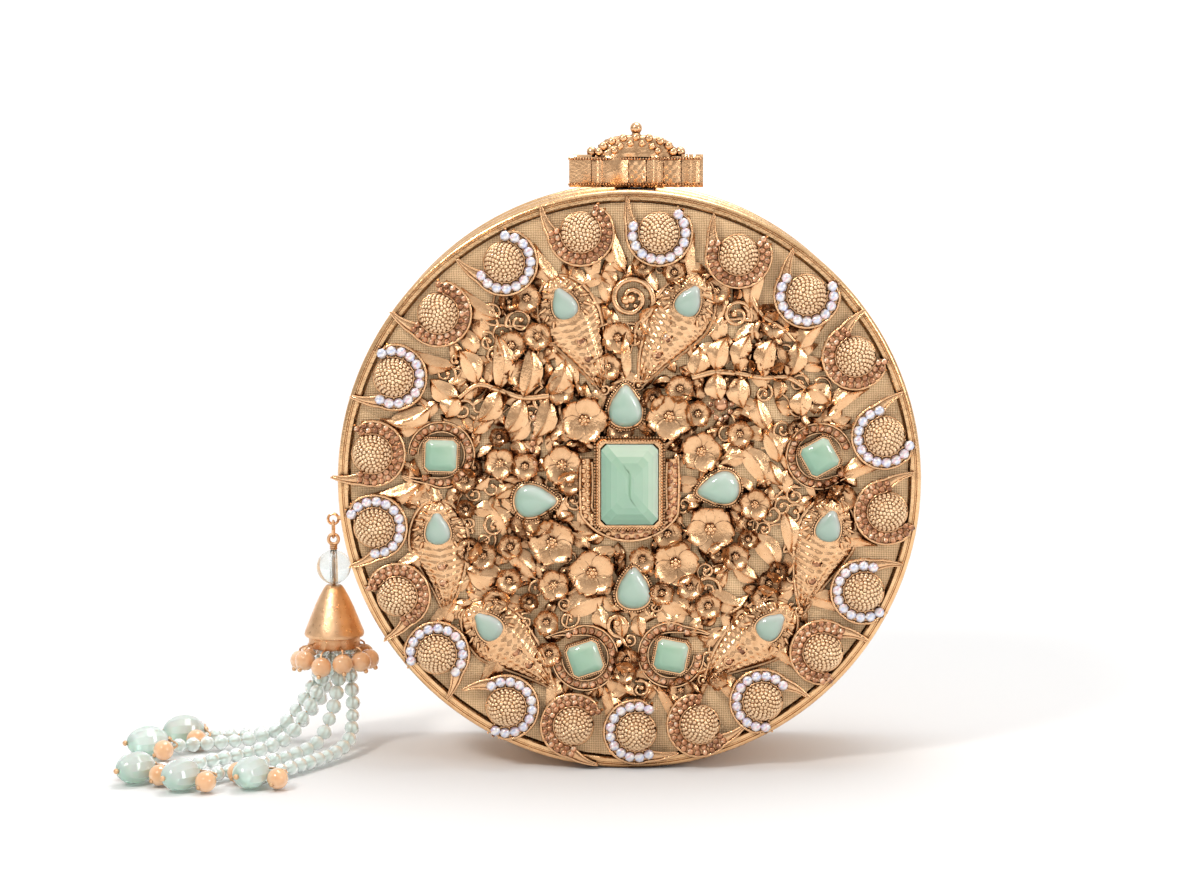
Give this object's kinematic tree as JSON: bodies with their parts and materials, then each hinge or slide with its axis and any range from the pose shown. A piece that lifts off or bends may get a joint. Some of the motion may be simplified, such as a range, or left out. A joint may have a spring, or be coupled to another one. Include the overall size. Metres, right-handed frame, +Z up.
{
  "type": "round clutch bag",
  "caption": "Round hinged evening clutch with cast floral ornaments, set stones, a crown-shaped lift clasp and a bead tassel.",
  "frame": {"origin": "on the floor, on the underside of the bottom hinge, midway along it and under the seam", "axes": "+Z up through the case to the clasp, -Y out of the decorated front, +X to the right seen from the front"},
  "size_m": [0.2207, 0.0828, 0.1777],
  "materials": {
    "antique_gold": "antiqued, satin highlights",
    "brushed_gold": "brushed, matte",
    "gold_silk": "woven metallic silk",
    "lining_satin": "satin",
    "steel": "plain",
    "mint_stone": "faceted, milky",
    "clear_glass": "clear",
    "peach_pearl": "pearl",
    "aqua_bead": "translucent"
  },
  "bodies": {
    "back_half": {"back_band": "antique_gold", "back_panel": "gold_silk", "back_lining": "lining_satin", "back_hinge_leaf": "antique_gold", "hinge_pin": "steel", "clasp_base": "antique_gold", "clasp_pin": "steel", "side_eye": "antique_gold"},
    "front_half": {"front_band": "antique_gold", "front_panel": "gold_silk", "front_lining": "lining_satin", "front_hinge_leaf": "antique_gold", "keeper_plate": "steel", "rim_setting_01": "antique_gold", "rim_setting_02": "antique_gold", "rim_setting_03": "antique_gold", "rim_setting_04": "antique_gold", "rim_setting_05": "antique_gold", "rim_setting_06": "antique_gold", "rim_setting_07": "antique_gold", "rim_setting_08": "antique_gold", "rim_setting_09": "antique_gold", "rim_setting_10": "antique_gold", "rim_setting_11": "antique_gold", "rim_setting_12": "antique_gold", "rim_setting_13": "antique_gold", "rim_setting_14": "antique_gold", "rim_setting_15": "antique_gold", "rim_setting_16": "antique_gold", "rim_setting_17": "antique_gold", "rim_setting_18": "antique_gold", "rim_setting_19": "antique_gold", "rim_setting_20": "antique_gold", "rim_setting_21": "antique_gold", "square_setting_1": "mint_stone", "square_setting_2": "mint_stone", "square_setting_3": "mint_stone", "square_setting_4": "mint_stone", "paisley_1": "antique_gold", "paisley_2": "antique_gold", "paisley_3": "antique_gold", "paisley_4": "antique_gold", "paisley_5": "antique_gold", "paisley_6": "antique_gold", "centre_setting": "antique_gold", "centre_stone": "mint_stone", "leaf_spray_left": "antique_gold", "leaf_spray_right": "antique_gold"},
    "clasp": {"crown_clasp": "antique_gold", "clasp_magnet": "steel"},
    "link": {"tassel_ring": "antique_gold"},
    "tassel": {"tassel_cap": "brushed_gold", "clear_bead": "clear_glass", "pearl_cluster": "peach_pearl", "strand_1": "aqua_bead", "strand_2": "aqua_bead", "strand_3": "aqua_bead", "strand_4": "aqua_bead", "strand_5": "aqua_bead"}
  },
  "joints": [
    {"name": "case_hinge", "type": "hinge", "parent": "back_half", "child": "front_half", "pos_m": [0, 0, 0.00155], "axis": [1, 0, 0], "range_deg": [0, 90]},
    {"name": "clasp_lift", "type": "hinge", "parent": "back_half", "child": "clasp", "pos_m": [0.0019, 0.006, 0.16171], "axis": [-1, 0, 0], "range_deg": [0, 60]},
    {"name": "ring_swing", "type": "hinge", "parent": "back_half", "child": "link", "pos_m": [-0.08371, 0.0032, 0.06504], "axis": [0, 1, 0], "range_deg": [-4, 60]},
    {"name": "tassel_swing", "type": "hinge", "parent": "link", "child": "tassel", "pos_m": [-0.08371, 0.0032, 0.06124], "axis": [1, 0, 0], "range_deg": [-60, 60]}
  ]
}
